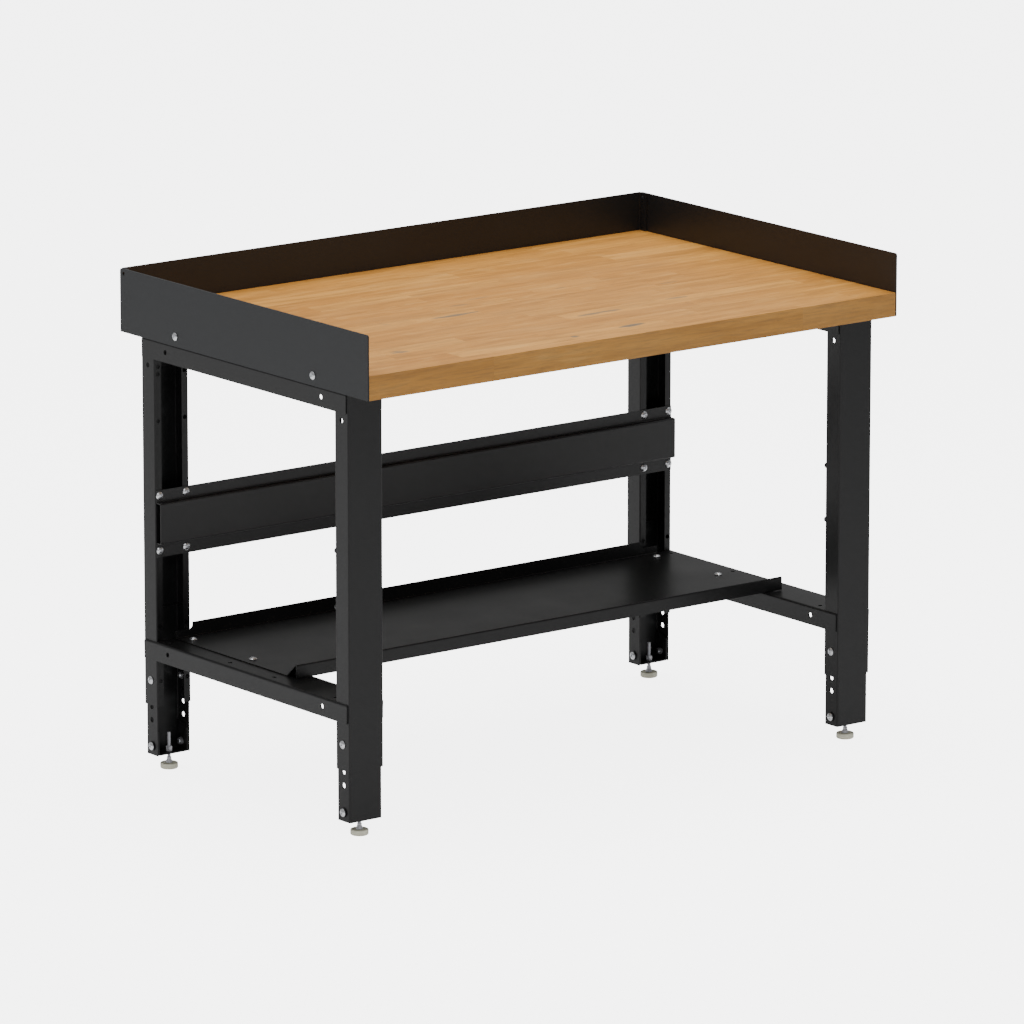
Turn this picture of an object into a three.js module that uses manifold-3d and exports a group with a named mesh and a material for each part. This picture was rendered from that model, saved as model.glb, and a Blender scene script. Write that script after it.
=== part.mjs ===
// Workbench: a butcher-block top inside low back and side stops, on a folded-steel frame with a rear
// stringer, a lower shelf, and four legs whose extensions slide for height and end in levelling feet.
// Millimetres, +Z up, +X to the right and +Y to the back. The origin is on the floor, under the middle.
import * as THREE from 'three';
import { mergeVertices } from 'three/addons/utils/BufferGeometryUtils.js';
import Module from 'manifold-3d';

const wasm = await Module();
wasm.setup();

const INCH = 25.4;
const GAP = 0.3; // left between pieces that touch
const SLIDE_GAP = 0.3; // left between a leg and the extension that slides in it
const HOLE_SIDES = 8;
const BOLT_SIDES = 8;
const STUD_SIDES = 12;
const PAD_SIDES = 16;
const BEND_STEPS = 2;

// Worktop and stops
const TOP_LENGTH = 1216.2;
const TOP_DEPTH = 30 * INCH;
const TOP_THICKNESS = 45;
const WORK_HEIGHT = 865.5;
const STOP_HEIGHT = 119.2;
const STOP_SHEET = 3;
const STOP_CORNER_RADIUS = 4.5;
const STOP_FLANGE = 20.5; // ends of the back stop, folded forward onto the side stops
const STOP_SCREWS_FROM_FRONT = [165.5, 591];
const BACK_SCREW_INSET = 165.5; // from the ends of the worktop
const STOP_SCREW_RISE = 19; // above the underside of the worktop
const CORNER_HOLE_REAR_INSET = 11.7; // from the rear edge of a side stop
const CORNER_HOLE_TOP_INSET = 9;
const CORNER_HOLE_RADIUS = 3.6;

// Legs
const LEG_WIDTH = 3 * INCH;
const LEG_DEPTH = 40;
const LEG_SHEET = 1.5;
const LEG_LIP = 15;
const LEG_BOTTOM = 126;
const LEG_OUTER_X = 607.2;
const FRONT_LEG_FROM_FRONT = 65.9;
const REAR_LEG_FROM_FRONT = 704.75;
const LEG_SIDE_HOLE_HEIGHT = 770.5;
const LIP_HOLE_OFFSET = 29.9; // from the middle of the leg
const LIP_HOLE_HEIGHTS = [174.5, 278, 423, 526.5, 667, 755.5, 769];

// Leg extensions and levelling feet
const EXTENSION_WIDTH = 72.6;
const EXTENSION_SHEET = 2.5;
const EXTENSION_SETBACK = 1.2; // keeps its free edges behind the leg's lips
const EXTENSION_BOTTOM = 30.3;
const EXTENSION_TOP = 305;
const PITCH = INCH; // step of the height adjustment
const PITCH_HOLE_RADIUS = 5.3;
const FIRST_PITCH_HOLE = 97.4;
const PITCH_HOLES = 7;
const HEIGHT_BOLT_HOLE = 3; // the hole, counted from 0, that is level with the height bolts
const BRACKET_SHEET = 2.5;
const BRACKET_HEIGHT = 48;
const BRACKET_DEPTH = 30;
const BRACKET_SETBACK = 1.5; // clears the extension's inner bends
const BRACKET_BOLT_HEIGHT = 47.2;
const FOOT_FROM_LEG_FACE = 22;
const STUD_RADIUS = 3.175;
const STUD_NECK_RADIUS = 4.3;
const STUD_BASE_RADIUS = 6.4;
const STUD_TOP = 69;
const STUD_HOLE_RADIUS = STUD_RADIUS + 0.4;
const WELD_NUT_RADIUS = 6.4;
const WELD_NUT_HEIGHT = 9.5;
const PAD_RADIUS = 16.7;
const PAD_HEIGHT = 11;
const PAD_RECESS_DEPTH = 1.2;
const SOCKET_RADIUS = 3.6;
const SOCKET_FLOOR = 3.5;

// Channels between the front and rear legs, and the stringer between the rear legs
const CHANNEL_HEIGHT = 35.5;
const CHANNEL_END_INSET = 3.5; // from the closed faces of the legs
const UPPER_CHANNEL_SHEET = 2;
const LOWER_CHANNEL_SHEET = 2.7;
const LOWER_CHANNEL_TOP = 250.2;
const CHANNEL_HOLE_OFFSET = 240.8; // from the middle of the channel, along it
const CHANNEL_HOLE_RADIUS = 4.8;
const CHANNEL_HOLE_DROP = 16.5;
const WEB_HOLE_OFFSETS = [58.6, 247.6]; // in the row of the shelf's bolts, from the middle of the channel
const WEB_HOLE_STAGGER = 10; // by which the other row's holes are further out
const WEB_HOLE_ROW = 22; // from the channel's centre line
const STRINGER_SHEET = 1.5;
const STRINGER_HALF_LENGTH = 605.6;
const STRINGER_BOTTOM = 410.2;
const STRINGER_TOP = 536.7;
const STRINGER_BOX_BOTTOM = 437;
const STRINGER_BOX_TOP = 513;
const STRINGER_BOX_DEPTH = 12.7;

// Lower shelf
const SHELF_SHEET = 1.5;
const SHELF_HALF_LENGTH = 569;
const SHELF_REAR_FROM_FRONT = 660.4;
const SHELF_REAR_HEIGHT = 27.6;
const SHELF_NOTCH_DROP = 12.7;
const SHELF_NOTCH_LENGTH = 39.4;
const SHELF_NOTCH_RADIUS = 8;
const SHELF_RISE_FROM_FRONT = 307.6;
const SHELF_RIDGE_FROM_FRONT = 279.4;
const SHELF_RIDGE_HEIGHT = 27.6;
const SHELF_BEND_RADIUS = 2;

// Fasteners
const BOLT_RADIUS = 3.9;
const BOLT_HOLE_RADIUS = 4.3;
const BOLT_HEAD_RADIUS = 7.6;
const BOLT_HEAD_HEIGHT = 4;
const BRACKET_BOLT_SPACER = 2; // collar under the head of a bracket bolt
const WOOD_SCREW_RADIUS = 2.4;
const WOOD_SCREW_LENGTH = 22;

const STOP_REAR_FROM_FRONT = TOP_DEPTH + GAP + STOP_SHEET;
const OVERALL_DEPTH = STOP_REAR_FROM_FRONT + GAP + BOLT_HEAD_HEIGHT;
const FRONT_Y = -OVERALL_DEPTH / 2;
const UNDERSIDE = WORK_HEIGHT - TOP_THICKNESS;
const TOP_Y = FRONT_Y + TOP_DEPTH / 2;
const STOP_REAR_Y = FRONT_Y + STOP_REAR_FROM_FRONT;
const STOP_X = TOP_LENGTH / 2 + GAP; // inner face of a side stop
const LEG_X = LEG_OUTER_X - LEG_WIDTH / 2;
const LEG_TOP = UNDERSIDE - GAP - UPPER_CHANNEL_SHEET - GAP;
const CHANNEL_LENGTH = REAR_LEG_FROM_FRONT - FRONT_LEG_FROM_FRONT - 2 * CHANNEL_END_INSET;
const CHANNEL_START_Y = FRONT_Y + FRONT_LEG_FROM_FRONT + CHANNEL_END_INSET;
const CHANNEL_MIDDLE_Y = CHANNEL_START_Y + CHANNEL_LENGTH / 2;
const LIP_PLANE_Y = FRONT_Y + REAR_LEG_FROM_FRONT - LEG_DEPTH; // open side of the rear legs
const HEIGHT_BOLT_Z = FIRST_PITCH_HOLE + HEIGHT_BOLT_HOLE * PITCH;
const SHELF_BOLT_X = LEG_X - WEB_HOLE_ROW;

const MATERIALS = {
  blackSteel: { color: 0x1c1c1d, roughness: 0.55, metalness: 0.1 },
  zincSteel: { color: 0xc8c9cc, roughness: 0.3, metalness: 1 },
  oak: { color: 0xc89b69, roughness: 0.5, metalness: 0 },
  padPlastic: { color: 0xbcb9a5, roughness: 0.6, metalness: 0 },
};

function solidOf(geometry) {
  const bare = geometry.clone();
  bare.deleteAttribute('normal');
  bare.deleteAttribute('uv');
  const merged = mergeVertices(bare, 1e-4);
  const vertProperties = merged.attributes.position.array;
  const triVerts = new Uint32Array(merged.index.array);
  return new wasm.Manifold(new wasm.Mesh({ numProp: 3, vertProperties, triVerts }));
}

function geometryOf(solid) {
  const { vertProperties, triVerts } = solid.getMesh();
  const geometry = new THREE.BufferGeometry();
  geometry.setAttribute('position', new THREE.BufferAttribute(new Float32Array(vertProperties), 3));
  geometry.setIndex(new THREE.BufferAttribute(new Uint32Array(triVerts), 1));
  const faceted = geometry.toNonIndexed();
  faceted.computeVertexNormals();
  return faceted;
}

const cut = (geometry, tools) =>
  geometryOf(tools.reduce((solid, tool) => solid.subtract(solidOf(tool)), solidOf(geometry)));

const join = (geometry, other) => geometryOf(solidOf(geometry).add(solidOf(other)));

function box(low, high) {
  const size = high.map((value, axis) => value - low[axis]);
  const middle = high.map((value, axis) => (value + low[axis]) / 2);
  return new THREE.BoxGeometry(...size).translate(...middle);
}

// A round bar centred on a point, used as a drill.
function bar(axis, radius, length, centre) {
  const geometry = new THREE.CylinderGeometry(radius, radius, length, HOLE_SIDES);
  geometry.rotateY(Math.PI / HOLE_SIDES);
  if (axis === 'x') geometry.rotateZ(Math.PI / 2);
  if (axis === 'z') geometry.rotateX(Math.PI / 2);
  return geometry.translate(...centre);
}

// The outline of a folded sheet: its mid-line, given by its corners, is rounded at each fold and made thick.
function foldedSheet(corners, thickness, bendRadius) {
  const points = corners.map(([x, y]) => new THREE.Vector2(x, y));
  const leftOf = (direction) => new THREE.Vector2(-direction.y, direction.x);
  const left = [];
  const right = [];
  const add = (point, normal) => {
    left.push(point.clone().addScaledVector(normal, thickness / 2));
    right.unshift(point.clone().addScaledVector(normal, -thickness / 2));
  };
  points.forEach((corner, i) => {
    const into = i > 0 ? corner.clone().sub(points[i - 1]).normalize() : null;
    const out = i < points.length - 1 ? points[i + 1].clone().sub(corner).normalize() : null;
    if (!into || !out) {
      add(corner, leftOf(into || out));
      return;
    }
    const turn = Math.atan2(into.cross(out), into.dot(out));
    const setback = bendRadius * Math.tan(Math.abs(turn) / 2);
    const toCentre = Math.sign(turn) * bendRadius;
    const centre = corner.clone().addScaledVector(into, -setback).addScaledVector(leftOf(into), toCentre);
    for (let step = 0; step <= BEND_STEPS; step += 1) {
      const normal = leftOf(into).rotateAround(new THREE.Vector2(), (turn * step) / BEND_STEPS);
      add(centre.clone().addScaledVector(normal, -toCentre), normal);
    }
  });
  return new THREE.Shape([...left, ...right]);
}

// Extrusions whose length runs along Z, X or Y; the outline's second axis is Y, Z or Z.
function extruded(outline, length, axis = 'z') {
  const options = { depth: length, bevelEnabled: false, curveSegments: 4 };
  const geometry = new THREE.ExtrudeGeometry(outline, options);
  const [x, y, z] = [[1, 0, 0], [0, 1, 0], [0, 0, 1]].map((values) => new THREE.Vector3(...values));
  if (axis === 'x') geometry.applyMatrix4(new THREE.Matrix4().makeBasis(y, z, x));
  if (axis === 'y') geometry.applyMatrix4(new THREE.Matrix4().makeBasis(x.clone().negate(), z, y));
  return geometry;
}

function turned(profile, sides) {
  const points = profile.map(([r, z]) => new THREE.Vector2(r, z));
  return new THREE.LatheGeometry(points, sides).rotateX(Math.PI / 2);
}

function mesh(name, geometry, material, position = [0, 0, 0]) {
  const piece = new THREE.Mesh(geometry, new THREE.MeshStandardMaterial(MATERIALS[material]));
  piece.name = name;
  piece.position.set(...position);
  return piece;
}

// A dome-headed fastener. Its head faces the direction, and the underside of the head is at the position.
function fastener(name, position, direction, size) {
  const { radius, length, headRadius, headHeight, spacer = 0 } = size;
  const profile = [
    [0, -length],
    [radius, -length],
    [radius, -spacer],
    [headRadius, -spacer],
    [headRadius, headHeight * 0.3],
    [headRadius * 0.75, headHeight * 0.8],
    [0, headHeight],
  ];
  const piece = mesh(name, turned(profile, BOLT_SIDES), 'zincSteel', position);
  piece.quaternion.setFromUnitVectors(new THREE.Vector3(0, 0, 1), new THREE.Vector3(...direction));
  return piece;
}

const bolt = (name, position, direction, length, spacer) =>
  fastener(name, position, direction, {
    radius: BOLT_RADIUS,
    length,
    headRadius: BOLT_HEAD_RADIUS,
    headHeight: BOLT_HEAD_HEIGHT,
    spacer,
  });

const woodScrew = (name, position, direction) =>
  fastener(name, position, direction, {
    radius: WOOD_SCREW_RADIUS,
    length: WOOD_SCREW_LENGTH,
    headRadius: BOLT_HEAD_RADIUS,
    headHeight: BOLT_HEAD_HEIGHT,
  });

const backScrewPlaces = [-1, 1].map((side) => [
  side * (TOP_LENGTH / 2 - BACK_SCREW_INSET),
  UNDERSIDE + STOP_SCREW_RISE,
]);

// The block has pilot holes for the stops' screws, and notched rear corners for the back stop's flanges.
function worktop() {
  const slab = box(
    [-TOP_LENGTH / 2, TOP_Y - TOP_DEPTH / 2, UNDERSIDE],
    [TOP_LENGTH / 2, TOP_Y + TOP_DEPTH / 2, WORK_HEIGHT],
  );
  const pilots = STOP_SCREWS_FROM_FRONT.flatMap((distance) =>
    [-1, 1].map((side) =>
      bar('x', WOOD_SCREW_RADIUS + GAP, 2 * WOOD_SCREW_LENGTH,
        [(side * TOP_LENGTH) / 2, FRONT_Y + distance, UNDERSIDE + STOP_SCREW_RISE]),
    ),
  );
  const backPilots = backScrewPlaces.map(([x, z]) =>
    bar('y', WOOD_SCREW_RADIUS + GAP, 2 * WOOD_SCREW_LENGTH, [x, TOP_Y + TOP_DEPTH / 2, z]),
  );
  const notches = [-1, 1].map((side) => {
    const inner = side * (STOP_X - 3 * GAP - STOP_SHEET);
    const outer = side * (STOP_X + 1);
    return box(
      [Math.min(inner, outer), STOP_REAR_Y - STOP_SHEET - STOP_FLANGE, UNDERSIDE - 1],
      [Math.max(inner, outer), STOP_REAR_Y, WORK_HEIGHT + 1],
    );
  });
  return mesh('worktop', cut(slab, [...pilots, ...backPilots, ...notches]), 'oak');
}

// A hole through a side stop and the flange of the back stop behind it.
const cornerHole = (side) =>
  bar('x', CORNER_HOLE_RADIUS, 16,
    [side * STOP_X, STOP_REAR_Y - CORNER_HOLE_REAR_INSET, UNDERSIDE + STOP_HEIGHT - CORNER_HOLE_TOP_INSET]);

function sideStop(name, side) {
  const outline = new THREE.Shape();
  const radius = STOP_CORNER_RADIUS;
  const top = UNDERSIDE + STOP_HEIGHT;
  outline.moveTo(FRONT_Y, UNDERSIDE);
  outline.lineTo(STOP_REAR_Y, UNDERSIDE);
  outline.absarc(STOP_REAR_Y - radius, top - radius, radius, 0, Math.PI / 2);
  outline.lineTo(FRONT_Y + radius, top);
  outline.absarc(FRONT_Y + radius, top - radius, radius, Math.PI / 2, Math.PI);
  const sheet = extruded(outline, STOP_SHEET, 'x');
  sheet.translate(side > 0 ? STOP_X : -STOP_X - STOP_SHEET, 0, 0);
  const holes = STOP_SCREWS_FROM_FRONT.map((distance) =>
    bar('x', WOOD_SCREW_RADIUS + GAP, 10, [side * STOP_X, FRONT_Y + distance, UNDERSIDE + STOP_SCREW_RISE]),
  );
  return mesh(name, cut(sheet, [...holes, cornerHole(side)]), 'blackSteel');
}

// The back stop's folded ends lie inside the side stops.
function backStop() {
  const half = STOP_X - GAP - STOP_SHEET / 2;
  const rear = STOP_REAR_Y - STOP_SHEET / 2;
  const ends = [[-half, rear - STOP_FLANGE], [-half, rear], [half, rear], [half, rear - STOP_FLANGE]];
  const sheet = extruded(foldedSheet(ends, STOP_SHEET, SHELF_BEND_RADIUS), STOP_HEIGHT);
  sheet.translate(0, 0, UNDERSIDE);
  const holes = backScrewPlaces.map(([x, z]) => bar('y', WOOD_SCREW_RADIUS + GAP, 10, [x, rear, z]));
  return mesh('back_stop', cut(sheet, [...holes, cornerHole(-1), cornerHole(1)]), 'blackSteel');
}

// An upside-down channel along Y that wraps the outsides of one side's legs.
function crossChannel(side, top, sheet) {
  const half = LEG_WIDTH / 2 + GAP + sheet / 2;
  const web = -sheet / 2;
  const corners = [[-half, -CHANNEL_HEIGHT], [-half, web], [half, web], [half, -CHANNEL_HEIGHT]];
  const channel = extruded(foldedSheet(corners, sheet, sheet), CHANNEL_LENGTH, 'y');
  channel.translate(side * LEG_X, CHANNEL_START_Y, top);
  const holes = [-1, 1].map((end) =>
    bar('x', CHANNEL_HOLE_RADIUS, LEG_WIDTH * 2,
      [side * LEG_X, CHANNEL_MIDDLE_Y + end * CHANNEL_HOLE_OFFSET, top - CHANNEL_HOLE_DROP]),
  );
  return { channel, holes };
}

function upperChannel(name, side) {
  const { channel, holes } = crossChannel(side, UNDERSIDE - GAP, UPPER_CHANNEL_SHEET);
  return mesh(name, cut(channel, holes), 'blackSteel');
}

// The legs pass through the lower channel's web, which is notched round them.
function lowerChannel(name, side) {
  const { channel, holes } = crossChannel(side, LOWER_CHANNEL_TOP, LOWER_CHANNEL_SHEET);
  const notchHalf = LEG_WIDTH / 2 + GAP;
  const notches = [-1, 1].map((end) => {
    const inner = CHANNEL_MIDDLE_Y + end * (CHANNEL_LENGTH / 2 + CHANNEL_END_INSET - LEG_DEPTH - GAP);
    const outer = CHANNEL_MIDDLE_Y + end * CHANNEL_LENGTH;
    return box(
      [side * LEG_X - notchHalf, Math.min(inner, outer), LOWER_CHANNEL_TOP - LOWER_CHANNEL_SHEET * 2],
      [side * LEG_X + notchHalf, Math.max(inner, outer), LOWER_CHANNEL_TOP + 1],
    );
  });
  const webHoles = WEB_HOLE_OFFSETS.flatMap((offset) =>
    [-1, 1].flatMap((end) =>
      [-1, 1].map((row) => {
        const along = offset + (row === side ? WEB_HOLE_STAGGER : 0);
        return bar('z', BOLT_HOLE_RADIUS, 4 * LOWER_CHANNEL_SHEET,
          [side * LEG_X + row * WEB_HOLE_ROW, CHANNEL_MIDDLE_Y + end * along, LOWER_CHANNEL_TOP]);
      }),
    ),
  );
  return mesh(name, cut(channel, [...holes, ...notches, ...webHoles]), 'blackSteel');
}

const stringerBoltPlaces = [];
for (const side of [-1, 1]) {
  for (const offset of [-LIP_HOLE_OFFSET, LIP_HOLE_OFFSET]) {
    for (const height of [LIP_HOLE_HEIGHTS[2], LIP_HOLE_HEIGHTS[3]]) {
      stringerBoltPlaces.push([side * LEG_X + offset, height]);
    }
  }
}

// A hat section bolted across the open sides of the rear legs.
function stringer() {
  const back = LIP_PLANE_Y - GAP - STRINGER_SHEET / 2;
  const front = back - STRINGER_BOX_DEPTH;
  const corners = [
    [back, STRINGER_BOTTOM],
    [back, STRINGER_BOX_BOTTOM],
    [front, STRINGER_BOX_BOTTOM],
    [front, STRINGER_BOX_TOP],
    [back, STRINGER_BOX_TOP],
    [back, STRINGER_TOP],
  ];
  const outline = foldedSheet(corners, STRINGER_SHEET, SHELF_BEND_RADIUS);
  const hat = extruded(outline, 2 * STRINGER_HALF_LENGTH, 'x');
  hat.translate(-STRINGER_HALF_LENGTH, 0, 0);
  const holes = stringerBoltPlaces.map(([x, z]) => bar('y', BOLT_HOLE_RADIUS, 10, [x, back, z]));
  return mesh('stringer', cut(hat, holes), 'blackSteel');
}

const shelfBoltPlaces = [];
for (const side of [-1, 1]) {
  for (const offset of WEB_HOLE_OFFSETS) {
    shelfBoltPlaces.push([side * SHELF_BOLT_X, CHANNEL_MIDDLE_Y + offset]);
  }
}

// A pan on the lower channels, with a rear upstand notched at both ends and a raised, folded front edge.
function lowerShelf() {
  const bottom = LOWER_CHANNEL_TOP + GAP;
  const middle = bottom + SHELF_SHEET / 2;
  const rear = FRONT_Y + SHELF_REAR_FROM_FRONT - SHELF_SHEET / 2;
  const rise = FRONT_Y + SHELF_RISE_FROM_FRONT;
  const ridge = FRONT_Y + SHELF_RIDGE_FROM_FRONT;
  const upstandTop = bottom + SHELF_REAR_HEIGHT;
  const corners = [
    [ridge, bottom + 0.4],
    [ridge, bottom + SHELF_RIDGE_HEIGHT],
    [rise, middle],
    [rear, middle],
    [rear, upstandTop],
  ];
  const pan = extruded(foldedSheet(corners, SHELF_SHEET, SHELF_BEND_RADIUS), 2 * SHELF_HALF_LENGTH, 'x');
  pan.translate(-SHELF_HALF_LENGTH, 0, 0);
  const notches = [-1, 1].map((side) => {
    const inner = SHELF_HALF_LENGTH - SHELF_NOTCH_LENGTH;
    const outer = SHELF_HALF_LENGTH + 1;
    const low = upstandTop - SHELF_NOTCH_DROP;
    const outline = new THREE.Shape();
    outline.moveTo(inner, upstandTop + 1);
    outline.lineTo(inner, low + SHELF_NOTCH_RADIUS);
    outline.absarc(inner + SHELF_NOTCH_RADIUS, low + SHELF_NOTCH_RADIUS, SHELF_NOTCH_RADIUS,
      Math.PI, 1.5 * Math.PI);
    outline.lineTo(outer, low);
    outline.lineTo(outer, upstandTop + 1);
    const notch = extruded(outline, 20, 'y').translate(0, rear - 10, 0);
    return side < 0 ? notch : notch.rotateZ(Math.PI).translate(0, 2 * rear, 0);
  });
  const holes = shelfBoltPlaces.map(([x, y]) => bar('z', BOLT_HOLE_RADIUS, 10, [x, y, middle]));
  return mesh('lower_shelf', cut(pan, [...notches, ...holes]), 'blackSteel');
}

// Leg pieces are made in the leg's own frame: x across the leg, y = 0 on its closed face, y growing inwards.
function upright(name) {
  const edge = LEG_WIDTH / 2 - LEG_SHEET / 2;
  const lipEnd = LEG_WIDTH / 2 - LEG_LIP;
  const lipY = LEG_DEPTH - LEG_SHEET / 2;
  const corners = [
    [-lipEnd, lipY],
    [-edge, lipY],
    [-edge, LEG_SHEET / 2],
    [edge, LEG_SHEET / 2],
    [edge, lipY],
    [lipEnd, lipY],
  ];
  const channel = extruded(foldedSheet(corners, LEG_SHEET, LEG_SHEET), LEG_TOP - LEG_BOTTOM);
  channel.translate(0, 0, LEG_BOTTOM);
  const holes = [
    bar('x', CHANNEL_HOLE_RADIUS, 2 * LEG_WIDTH, [0, LEG_DEPTH / 2, LEG_SIDE_HOLE_HEIGHT]),
    bar('x', BOLT_HOLE_RADIUS, 2 * LEG_WIDTH, [0, LEG_DEPTH / 2, HEIGHT_BOLT_Z]),
  ];
  for (const height of LIP_HOLE_HEIGHTS) {
    for (const side of [-1, 1]) {
      holes.push(bar('y', BOLT_HOLE_RADIUS, 10, [side * LIP_HOLE_OFFSET, lipY, height]));
    }
  }
  return mesh(name, cut(channel, holes), 'blackSteel');
}

function legExtension(name) {
  const edge = EXTENSION_WIDTH / 2 - EXTENSION_SHEET / 2;
  const faceY = LEG_SHEET + SLIDE_GAP + EXTENSION_SHEET / 2;
  const openY = LEG_DEPTH - LEG_SHEET - SLIDE_GAP - EXTENSION_SETBACK;
  const corners = [[-edge, openY], [-edge, faceY], [edge, faceY], [edge, openY]];
  const outline = foldedSheet(corners, EXTENSION_SHEET, EXTENSION_SHEET);
  const channel = extruded(outline, EXTENSION_TOP - EXTENSION_BOTTOM);
  channel.translate(0, 0, EXTENSION_BOTTOM);
  const holes = [bar('x', BOLT_HOLE_RADIUS, 2 * LEG_WIDTH, [0, LEG_DEPTH / 2, BRACKET_BOLT_HEIGHT])];
  for (let i = 0; i < PITCH_HOLES; i += 1) {
    const height = FIRST_PITCH_HOLE + i * PITCH;
    holes.push(bar('x', PITCH_HOLE_RADIUS, 2 * LEG_WIDTH, [0, LEG_DEPTH / 2, height]));
  }
  return mesh(name, cut(channel, holes), 'blackSteel');
}

// A U bracket across the bottom of the extension, with the foot's nut welded on its base.
function footBracket(name) {
  const edge = EXTENSION_WIDTH / 2 - EXTENSION_SHEET - GAP - BRACKET_SHEET / 2;
  const startY = LEG_SHEET + SLIDE_GAP + EXTENSION_SHEET + BRACKET_SETBACK;
  const base = BRACKET_SHEET / 2;
  const corners = [[-edge, BRACKET_HEIGHT], [-edge, base], [edge, base], [edge, BRACKET_HEIGHT]];
  const bracket = extruded(foldedSheet(corners, BRACKET_SHEET, BRACKET_SHEET), BRACKET_DEPTH, 'y');
  bracket.translate(0, startY, EXTENSION_BOTTOM);
  const nutBase = EXTENSION_BOTTOM + BRACKET_SHEET;
  const nut = new THREE.CylinderGeometry(WELD_NUT_RADIUS, WELD_NUT_RADIUS, WELD_NUT_HEIGHT + 1, 6);
  nut.rotateX(Math.PI / 2).translate(0, FOOT_FROM_LEG_FACE, nutBase + (WELD_NUT_HEIGHT - 1) / 2);
  const holes = [
    bar('x', BOLT_HOLE_RADIUS, 2 * LEG_WIDTH, [0, LEG_DEPTH / 2, BRACKET_BOLT_HEIGHT]),
    bar('z', STUD_HOLE_RADIUS, 60, [0, FOOT_FROM_LEG_FACE, nutBase]),
  ];
  return mesh(name, cut(join(bracket, nut), holes), 'blackSteel');
}

// The stud's wide base rests on the pad, with a pin in the pad's socket.
function footStud(name) {
  const seat = PAD_HEIGHT - PAD_RECESS_DEPTH + GAP;
  const profile = [
    [0, SOCKET_FLOOR + GAP],
    [STUD_RADIUS, SOCKET_FLOOR + GAP],
    [STUD_RADIUS, seat],
    [STUD_BASE_RADIUS, seat],
    [STUD_BASE_RADIUS, seat + 3.5],
    [STUD_NECK_RADIUS, seat + 8],
    [STUD_NECK_RADIUS, seat + 11.5],
    [STUD_RADIUS, seat + 11.8],
    [STUD_RADIUS, STUD_TOP - 1],
    [STUD_RADIUS - 0.8, STUD_TOP],
    [0, STUD_TOP],
  ];
  return mesh(name, turned(profile, STUD_SIDES), 'zincSteel', [0, FOOT_FROM_LEG_FACE, 0]);
}

function footPad(name) {
  const recess = PAD_HEIGHT - PAD_RECESS_DEPTH;
  const profile = [
    [0, 0],
    [PAD_RADIUS - 2.5, 0],
    [PAD_RADIUS - 0.6, 1],
    [PAD_RADIUS, 3],
    [PAD_RADIUS, PAD_HEIGHT - 1.5],
    [PAD_RADIUS - 1.2, PAD_HEIGHT],
    [PAD_RADIUS - 3, PAD_HEIGHT],
    [PAD_RADIUS - 4, recess],
    [SOCKET_RADIUS, recess],
    [SOCKET_RADIUS, SOCKET_FLOOR],
    [0, SOCKET_FLOOR],
  ];
  return mesh(name, turned(profile, PAD_SIDES), 'padPlastic', [0, FOOT_FROM_LEG_FACE, 0]);
}

// One leg, placed by its closed face; a rear leg is turned round so that its open side faces forward.
function leg(end, hand) {
  const group = new THREE.Group();
  const name = `${end}_${hand}`;
  const side = hand === 'left' ? -1 : 1;
  const isRear = end === 'rear';
  group.position.set(side * LEG_X, FRONT_Y + (isRear ? REAR_LEG_FROM_FRONT : FRONT_LEG_FROM_FRONT), 0);
  group.rotation.z = isRear ? Math.PI : 0;
  const outward = isRear ? -side : side; // the bench's outer side in the leg's own frame
  const boltY = LEG_DEPTH / 2;
  group.add(
    upright(`${name}_upright`),
    legExtension(`${name}_leg_extension`),
    footBracket(`${name}_foot_bracket`),
    footStud(`${name}_foot_stud`),
    footPad(`${name}_foot_pad`),
  );
  for (const [place, direction] of [['outer', outward], ['inner', -outward]]) {
    group.add(bolt(`${name}_height_bolt_${place}`, [direction * (LEG_WIDTH / 2 + GAP), boltY, HEIGHT_BOLT_Z],
      [direction, 0, 0], LEG_SHEET + GAP));
  }
  const seat = EXTENSION_WIDTH / 2 + GAP + BRACKET_BOLT_SPACER;
  const reach = BRACKET_BOLT_SPACER + EXTENSION_SHEET + BRACKET_SHEET + 5;
  group.add(bolt(`${name}_bracket_bolt`, [outward * seat, boltY, BRACKET_BOLT_HEIGHT],
    [outward, 0, 0], reach, BRACKET_BOLT_SPACER));
  return group;
}

const workbench = new THREE.Group();
workbench.add(
  worktop(),
  backStop(),
  sideStop('left_stop', -1),
  sideStop('right_stop', 1),
  upperChannel('left_upper_channel', -1),
  upperChannel('right_upper_channel', 1),
  lowerChannel('left_lower_channel', -1),
  lowerChannel('right_lower_channel', 1),
  stringer(),
  lowerShelf(),
);
for (const end of ['front', 'rear']) {
  for (const hand of ['left', 'right']) workbench.add(leg(end, hand));
}
stringerBoltPlaces.forEach(([x, z], i) => {
  const seat = LIP_PLANE_Y - 2 * GAP - STRINGER_SHEET;
  workbench.add(bolt(`stringer_bolt_${i + 1}`, [x, seat, z], [0, -1, 0], 12));
});
shelfBoltPlaces.forEach(([x, y], i) => {
  const seat = LOWER_CHANNEL_TOP + 2 * GAP + SHELF_SHEET;
  workbench.add(bolt(`shelf_bolt_${i + 1}`, [x, y, seat], [0, 0, 1], 16));
});
for (const [hand, side] of [['left', -1], ['right', 1]]) {
  STOP_SCREWS_FROM_FRONT.forEach((distance, i) => {
    const place = [side * (STOP_X + STOP_SHEET + GAP), FRONT_Y + distance, UNDERSIDE + STOP_SCREW_RISE];
    workbench.add(woodScrew(`${hand}_stop_screw_${i + 1}`, place, [side, 0, 0]));
  });
}
backScrewPlaces.forEach(([x, z], i) => {
  workbench.add(woodScrew(`back_stop_screw_${i + 1}`, [x, STOP_REAR_Y + GAP, z], [0, 1, 0]));
});

export default workbench;
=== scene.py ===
"""Looks of the workbench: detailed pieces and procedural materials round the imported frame.

Floor, light and camera are at the end. Every piece rides on a body of the frame.
"""

import math
import random

import bpy
import bmesh
from mathutils import Euler, Matrix, Vector


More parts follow.
